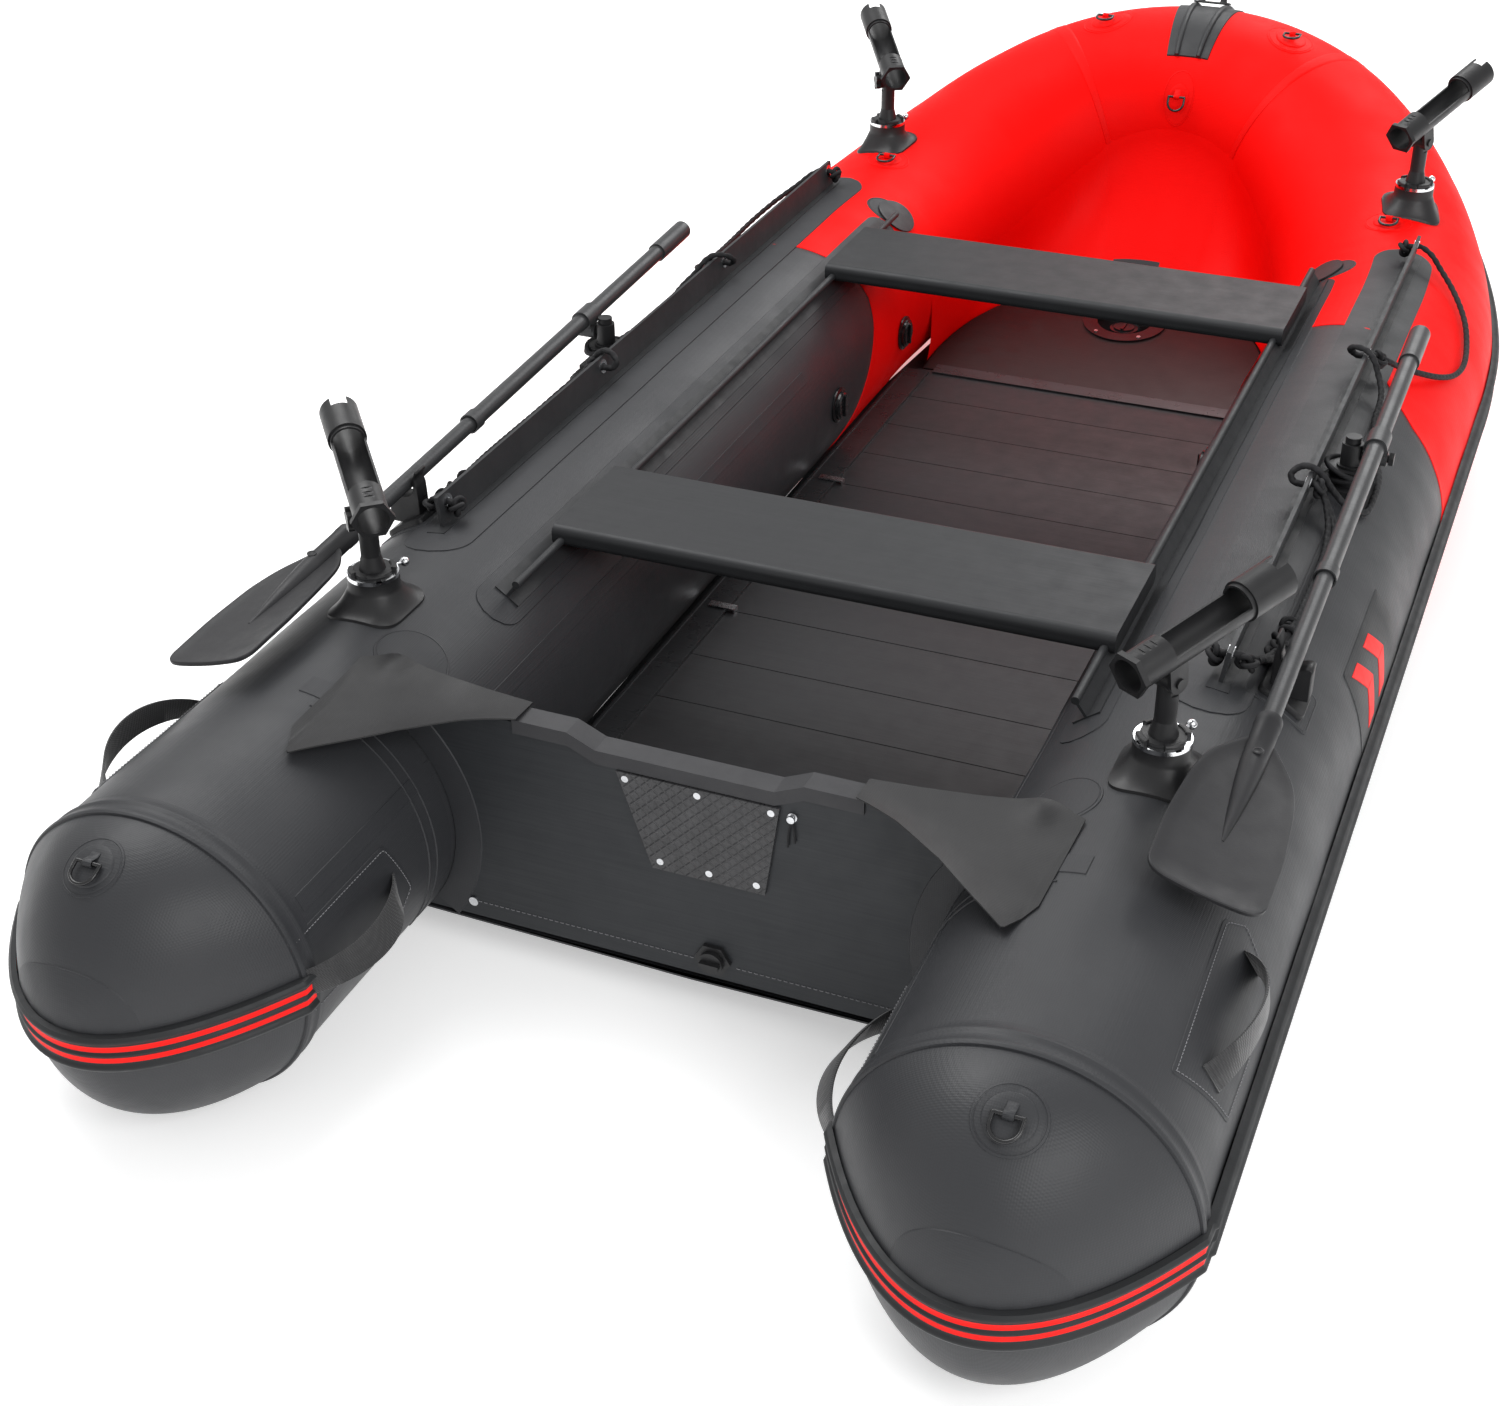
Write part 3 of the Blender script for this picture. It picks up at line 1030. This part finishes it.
rope_path = smooth_path([(x / 1000, y / 1000, z / 1000) for x, y, z in ROUTE], 0.0016)
rope_v, rope_f = braid(rope_path)
for name, flip in SIDES:
    piece(f"grab_rope_{name}_braid", rope_v, rope_f, ["rope"], slot=f"grab_rope_{name}",
          replaces=[f"grab_rope_{name}"], mirror=flip)
    b = Batch()
    for x, y, z, size, lean in ((0.574, 0.823, 0.446, 0.0135, (0.3, 1.2, 0.2)),
                                (0.574, -0.760, 0.446, 0.0135, (0.5, 1.1, 0.5)),
                                (0.617, -0.757, 0.440, 0.014, (0.1, 0.7, 1.4)),
                                (0.617, 0.288, 0.446, 0.014, (0.6, 0.8, 0.9)),
                                (0.612, -0.232, 0.448, 0.013, (0.2, 1.3, 0.3))):
        b.add(*knot((x, y, z), size, lean), mirror=flip)
    # the spare end doubles back beside the last span
    back = smooth_path([(0.624, -0.246, 0.4395), (0.645, -0.280, 0.4205), (0.657, -0.340, 0.4085),
                        (0.6615, -0.430, 0.4050), (0.6610, -0.520, 0.4055), (0.655, -0.600, 0.4085),
                        (0.646, -0.690, 0.4185), (0.628, -0.742, 0.438)], 0.0016)
    b.add(*braid(back), mirror=flip)
    # spare rope made up into a plait below the after eyelet
    for k in range(5):
        b.add(*knot((0.640 + 0.004 * (k % 2), -0.690 + 0.026 * k, 0.4155 - 0.003 * k), 0.0155,
                    (0.2 + 0.5 * k, 0.25, 0.8 * k)), mirror=flip)
    # turns of rope round the oarlock's foot
    t = np.linspace(0, 2 * math.pi, 80, endpoint=False)
    for r_, z_, lean in ((0.0345, 0.428, 0.010), (0.0355, 0.437, -0.007)):
        p = np.stack([0.639 + r_ * np.cos(t), OAR_AT[1] + r_ * np.sin(t),
                      z_ + lean * np.cos(t) + 0.002 * np.sin(2 * t)], -1)
        v = tube_verts(np.concatenate([p, p[:1]]), 0.0042, 10)[:-1]
        b.add(v, flipped(grid_faces(len(v), 10, closed_u=True, closed_v=True)), mirror=flip)
    tail = smooth_path([(0.612, -0.160, 0.437), (0.606, -0.178, 0.438), (0.605, -0.200, 0.443),
                        (0.607, -0.222, 0.449)], 0.002)
    b.add(*tube(tail, KNOT_R, 10), mirror=flip)
    b.make(f"rope_knots_{name}", "rope", slot=f"grab_rope_{name}")


# ---- oar blades ----
def blade():
    lean = Matrix.Translation(OAR_AT) @ Matrix.Rotation(math.radians(OAR_LEAN), 4, "X")
    root, end = BLADE_ROOT, BLADE_END
    side = [(0.017, root), (0.056, root - 0.062), (0.067, root - 0.115), (0.0745, root - 0.210),
            (0.0730, end)]
    outline = rounded([(-0.017, root)] + side + [(-x, y) for x, y in side[:0:-1]], 0.026, 7)
    outline = resample(outline, 0.010)
    roll = Matrix.Rotation(math.radians(16), 4, "Y")
    if turning(outline) < 0:
        outline = outline[::-1]
    b = Batch()
    mid = np.array([0.0, (root + end) / 2 - 0.02])
    rim = [(0.0012, -0.0030), (0.0, -0.0020), (0.0, 0.0020), (0.0012, 0.0032), (0.0060, 0.0032),
           (0.0085, 0.0022)]
    levels = [(inset(outline, d), h) for d, h in rim]
    under = [(mid + (levels[0][0] - mid) * f, -0.0030) for f in (0.05, 0.3, 0.6, 0.85)]
    over = [(mid + (levels[-1][0] - mid) * f, 0.0022) for f in (0.8, 0.55, 0.3, 0.05)]
    levels = under + levels + over
    verts = []
    for q, h in levels:
        for px, py in q:
            dish = 0.005 * (px / 0.07) ** 2 * min(1.0, (root - py) / 0.12)
            verts.append(lean @ roll @ Vector((px, py, h + dish)))
    b.add(verts, loft(len(levels), len(outline)))
    # socket and tapering rib
    a = np.linspace(0, 2 * math.pi, 32, endpoint=False)
    stations = [(root + 0.046, 0.0165), (root + 0.045, 0.0178), (root + 0.030, 0.0178),
                (root + 0.029, 0.0170), (root - 0.055, 0.0170), (root - 0.090, 0.0150),
                (root - 0.130, 0.0118), (root - 0.165, 0.0085), (root - 0.195, 0.0052),
                (root - 0.215, 0.0030)]
    rib = np.array([[lean @ Vector((r * math.cos(t), y, r * math.sin(t))) for t in a] for y, r in stations])
    b.add(rib.reshape(-1, 3), flipped(loft(len(stations), len(a))))
    # moulded ring round the drain hole of the socket
    spot = lean @ Matrix.Translation((0.004, root - 0.045, 0.0168))
    b.add(*turned([(0.0001, 0), (0.0072, 0.0), (0.0072, 0.0012), (0.0056, 0.0016), (0.0048, 0.0008),
                   (0.0001, 0.0004)], spot, 20))
    return b


b = blade()
for name, flip in SIDES:
    piece(f"oar_blade_{name}_shell", b.verts, b.faces, ["blade"], body=f"oar_{name}", slot="oar_blade",
          replaces=[f"oar_blade_{name}"], mirror=flip, crease=42)

# ---- black segments of each rod holder's locking ring ----
PLACES = {f"{end}_{side}": (-x if flip else x, y, z)
          for end, (x, y, z) in (("stern", STERN_ROD), ("bow", BOW_ROD)) for side, flip in SIDES[::-1]}
for name, (x, y, z) in PLACES.items():
    b = Batch()
    for k in range(4):
        a = np.radians(np.linspace(90 * k + 18, 90 * k + 62, 12))
        prof = [(0.0265, 0.0002), (0.0265, 0.0062), (0.0280, 0.0072), (0.0330, 0.0066), (0.0345, 0.0050),
                (0.0345, 0.0002)]
        v = np.array([[(x + r * math.cos(t), y + r * math.sin(t), z + h) for r, h in prof] for t in a])
        b.add(v, flipped(loft(len(a), len(prof))))
    b.make(f"rod_ring_segments_{name}", "plastic", body=f"rod_post_{name}", slot="rod_part", crease=40)

# ---- generic red mark on a dark patch, on the outside of each side chamber ----
marks, back_patch = Batch(), Batch()
place = on_tube(-0.462, 68)
plain = resample(rounded([(-0.150, 0.050), (-0.115, -0.062), (0.150, -0.062), (0.150, 0.050)], 0.006), 0.012)
back_patch.both(*patch(place, plain, THIN))
for k in range(2):
    u0 = -0.095 + 0.088 * k
    lo = [(u0, -0.046), (u0 + 0.042, -0.046), (u0 + 0.080, -0.004), (u0 + 0.038, -0.004)]
    hi = [(u0 + 0.038, -0.004), (u0 + 0.080, -0.004), (u0 + 0.042, 0.038), (u0, 0.038)]
    for quad in (lo, hi):
        marks.both(*patch(place, resample(quad, 0.008), [(0.0, 0.0010), (0.0004, 0.0019)]))
back_patch.make("side_panel_patches", "black_patch", slot="fabric_patches")
marks.make("side_chevrons", "stripe", slot="bow_tube")

# ---- stitched line low on the transom, and the lanyard on its stud ----
b = Batch()
for x in np.arange(-0.34, 0.34, 0.0085):
    if abs(x - 0.035) > 0.032:
        p = [(x, -TRANSOM_Y - 0.0002, 0.093), (x + 0.0026, -TRANSOM_Y - 0.0009, 0.093),
             (x + 0.0052, -TRANSOM_Y - 0.0002, 0.093)]
        b.add(*tube(p, 0.0006, 6))
b.make("transom_stitching", "thread", slot="transom_board")
stud, cord = Batch(), Batch()
spot = Matrix.Translation((0.149, -TRANSOM_Y - 0.0002, 0.363)) @ Matrix.Rotation(math.radians(90), 4, "X")
stud.add(*turned([(0.0001, 0), (0.0065, 0), (0.0065, 0.0014), (0.0040, 0.0022), (0.0038, 0.0044),
                  (0.0056, 0.0056), (0.0052, 0.0078), (0.0001, 0.0088)], spot, 24))
for dx, dz in ((-0.004, -0.046), (0.003, -0.038)):
    p = smooth_path([(0.149, -TRANSOM_Y - 0.0036, 0.359), (0.149 + dx, -TRANSOM_Y - 0.0032, 0.363 + dz * 0.5),
                     (0.149 + dx * 1.4, -TRANSOM_Y - 0.0026, 0.363 + dz)], 0.002)
    cord.add(*tube(p, 0.0014, 8))
stud.make("lanyard_stud", "steel", slot="machine_screws", crease=45)
cord.make("lanyard_tails", "rope", slot="transom_board")

# ---- CAD nodes that stay ----
dress("charcoal", "hull_bottom")
dress("charcoal_patch", "keel_tube")
dress("floor", "floor_panels")
dress("board", "bow_floorboard")
dress("stringer", "floor_stringers")
dress("steel", "stringer_clips", "machine_screws")
dress("gloss", "hatch_ring", "air_valves", "d_rings_stern", "d_rings_side", "d_rings_bow", "d_ring_towing",
      "valve_cap_port", "valve_cap_starboard", "valve_cap_bow")
dress("transom", "transom_board")
dress("cap_strip", "transom_cap")
dress("pad", "motor_pads")
dress("plastic", "drain_valve", "drain_cap", *(f"rod_{part}_{name}" for name in PLACES
        for part in ("post", "cradle", "knob")))
dress("rubber", "seat_rails", "rope_rails")
dress("chrome", "rope_eyelets", "rod_rings")
dress("black_rubber", "oarlock_bases", "oar_yoke_port", "oar_yoke_starboard")
dress("seat", "seat_front", "seat_rear")
dress("oar", "oar_shaft_port", "oar_shaft_starboard")

# ---- studio ----
ground = bpy.data.meshes.new("studio_floor")
ground.from_pydata([(-30, -30, -0.0005), (30, -30, -0.0005), (30, 30, -0.0005), (-30, 30, -0.0005)], [],
                   [(0, 1, 2, 3)])
m, nt, sh, co = tree("studio_paper")
tint(nt, sh, noise_node(nt, co, 2.0), (0.86, 0.86, 0.86), (0.88, 0.88, 0.88))
sh.inputs["Roughness"].default_value = 0.9
sh.inputs["Specular IOR Level"].default_value = 0.1
sh.inputs["Emission Color"].default_value = (1.0, 1.0, 1.0, 1.0)
sh.inputs["Emission Strength"].default_value = 0.42
ground.materials.append(m)
place_object("studio_floor", ground)
world = bpy.data.worlds.new("studio")
world.use_nodes = True
world.node_tree.nodes["Background"].inputs[0].default_value = (1.0, 1.0, 1.0, 1)
world.node_tree.nodes["Background"].inputs[1].default_value = 0.68
bpy.context.scene.world = world


def area(name, at, target, size, power):
    light = bpy.data.lights.new(name, "AREA")
    light.shape = "RECTANGLE"
    light.size, light.size_y = size
    light.energy = power
    aim = Vector(target) - Vector(at)
    place_object(name, light).matrix_world = looking(at, aim)


area("key", (-2.2, 0.6, 4.6), (0, 0, 0.2), (3.6, 3.6), 190)
area("fill", (3.6, -3.2, 3.2), (0, -0.4, 0.2), (3.0, 2.4), 120)
area("bow_light", (0.6, 4.6, 3.4), (0, 0.6, 0.3), (3.0, 2.0), 80)
